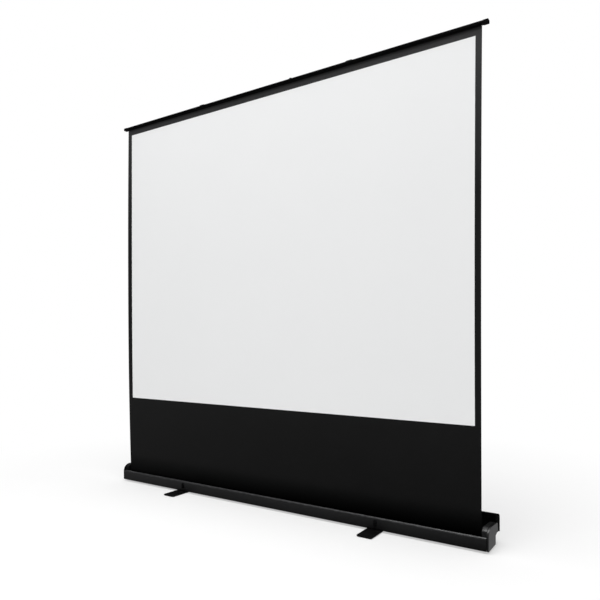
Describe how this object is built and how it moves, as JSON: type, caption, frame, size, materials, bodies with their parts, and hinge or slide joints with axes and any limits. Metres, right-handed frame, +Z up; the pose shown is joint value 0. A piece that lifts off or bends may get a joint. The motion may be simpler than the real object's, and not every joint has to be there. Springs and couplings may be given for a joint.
{
  "type": "pull up projection screen",
  "caption": "Free-standing projection screen that pulls up out of a low floor case, with a spring roller, folding rear arms, a top bar and swivel feet.",
  "frame": {"origin": "on the floor under the middle of the case's length, level with the feet's pivots", "axes": "+Z up; +X along the screen to the viewer's right; the viewer stands on -Y"},
  "size_m": [2.143, 0.29, 2.0674],
  "materials": {
    "black_aluminium": "satin black anodised aluminium extrusion",
    "black_plastic": "moulded black plastic, fine grain",
    "cap_plastic": "moulded charcoal plastic, soft gloss",
    "black_steel": "black powder-coated steel",
    "zinc_steel": "bright zinc-plated steel",
    "grey_aluminium": "plain anodised aluminium",
    "spring_steel": "dark oiled spring wire",
    "nylon": "natural nylon",
    "rubber": "black rubber",
    "black_cloth": "black backed screen cloth",
    "white_coat": "matt white viewing surface"
  },
  "bodies": {
    "case": {"front_panel": "black_aluminium", "base_plate": "black_aluminium", "rear_lower_panel": "black_aluminium", "rear_shelf": "black_aluminium", "rear_panel": "black_aluminium", "end_cap_left": "cap_plastic", "end_cap_right": "cap_plastic", "rear_end_left": "black_plastic", "rear_end_right": "black_plastic", "guide_rod": "grey_aluminium", "spring_shaft": "zinc_steel", "roller_spring": "spring_steel", "roller_bush": "nylon", "cloth_lead": "black_cloth", "screen_cloth": "black_cloth", "viewing_coat": "white_coat", "base_bracket_left": "black_steel", "base_bracket_right": "black_steel", "base_screw_left_a": "zinc_steel", "base_screw_left_b": "zinc_steel", "base_screw_right_a": "zinc_steel", "base_screw_right_b": "zinc_steel", "lift_spring_left": "spring_steel", "lift_spring_right": "spring_steel", "foot_rivet_left": "zinc_steel", "foot_rivet_right": "zinc_steel", "foot_catch_left": "black_plastic", "foot_catch_right": "black_plastic"},
    "roller": {"roller_tube": "grey_aluminium", "roller_plug_left": "nylon", "roller_plug_right": "nylon", "cloth_wraps": "black_cloth", "spring_collar": "nylon"},
    "lower_arm_left": {"lower_arm_left": "grey_aluminium", "base_pin_left": "zinc_steel", "knee_pin_left": "zinc_steel", "knee_disc_left": "nylon"},
    "upper_arm_left": {"upper_arm_left": "grey_aluminium"},
    "top_bar": {"top_bar": "black_aluminium", "bar_cap_left": "black_plastic", "bar_cap_right": "black_plastic", "cloth_clamp": "black_plastic", "bar_bracket_left": "black_steel", "bar_bracket_right": "black_steel", "top_pin_left": "zinc_steel", "top_pin_right": "zinc_steel", "bar_screw_left_a": "zinc_steel", "bar_screw_left_b": "zinc_steel", "bar_screw_right_a": "zinc_steel", "bar_screw_right_b": "zinc_steel", "pull_knob": "black_plastic"},
    "lower_arm_right": {"lower_arm_right": "grey_aluminium", "base_pin_right": "zinc_steel", "knee_pin_right": "zinc_steel", "knee_disc_right": "nylon"},
    "upper_arm_right": {"upper_arm_right": "grey_aluminium"},
    "foot_left": {"foot_left": "black_steel", "foot_pad_left": "rubber"},
    "foot_right": {"foot_right": "black_steel", "foot_pad_right": "rubber"}
  },
  "joints": [
    {"name": "lift", "type": "hinge", "parent": "case", "child": "lower_arm_left", "pos_m": [-0.448, 0.044, 0.06], "axis": [0, 1, 0], "range_deg": [0, 73.6], "deforming": ["screen_cloth", "viewing_coat"]},
    {"name": "knee_left", "type": "hinge", "parent": "lower_arm_left", "child": "upper_arm_left", "pos_m": [-0.1762, 0.054, 1.0535], "axis": [0, 1, 0], "range_deg": [-147.2, 0]},
    {"name": "bar_level", "type": "hinge", "parent": "upper_arm_left", "child": "top_bar", "pos_m": [-0.448, 0.054, 2.047], "axis": [0, 1, 0], "range_deg": [0, 73.6]},
    {"name": "base_right", "type": "hinge", "parent": "case", "child": "lower_arm_right", "pos_m": [0.448, 0.066, 0.06], "axis": [0, 1, 0], "range_deg": [-73.6, 0]},
    {"name": "knee_right", "type": "hinge", "parent": "lower_arm_right", "child": "upper_arm_right", "pos_m": [0.1762, 0.076, 1.0535], "axis": [0, 1, 0], "range_deg": [0, 147.2]},
    {"name": "roller_turn", "type": "hinge", "parent": "case", "child": "roller", "pos_m": [0, -0.01, 0.04], "axis": [1, 0, 0], "range_deg": [0, 4710.4]},
    {"name": "swivel_left", "type": "hinge", "parent": "case", "child": "foot_left", "pos_m": [-0.593, 0, 0.0045], "axis": [0, 0, 1], "range_deg": [0, 90]},
    {"name": "swivel_right", "type": "hinge", "parent": "case", "child": "foot_right", "pos_m": [0.577, 0, 0.0045], "axis": [0, 0, 1], "range_deg": [-90, 0]}
  ],
  "couplings": [
    {"joint": "knee_left", "follows": "lift", "ratio": -2},
    {"joint": "bar_level", "follows": "lift", "ratio": 1},
    {"joint": "base_right", "follows": "lift", "ratio": -1},
    {"joint": "knee_right", "follows": "lift", "ratio": 2},
    {"joint": "roller_turn", "follows": "lift", "ratio": 64}
  ]
}
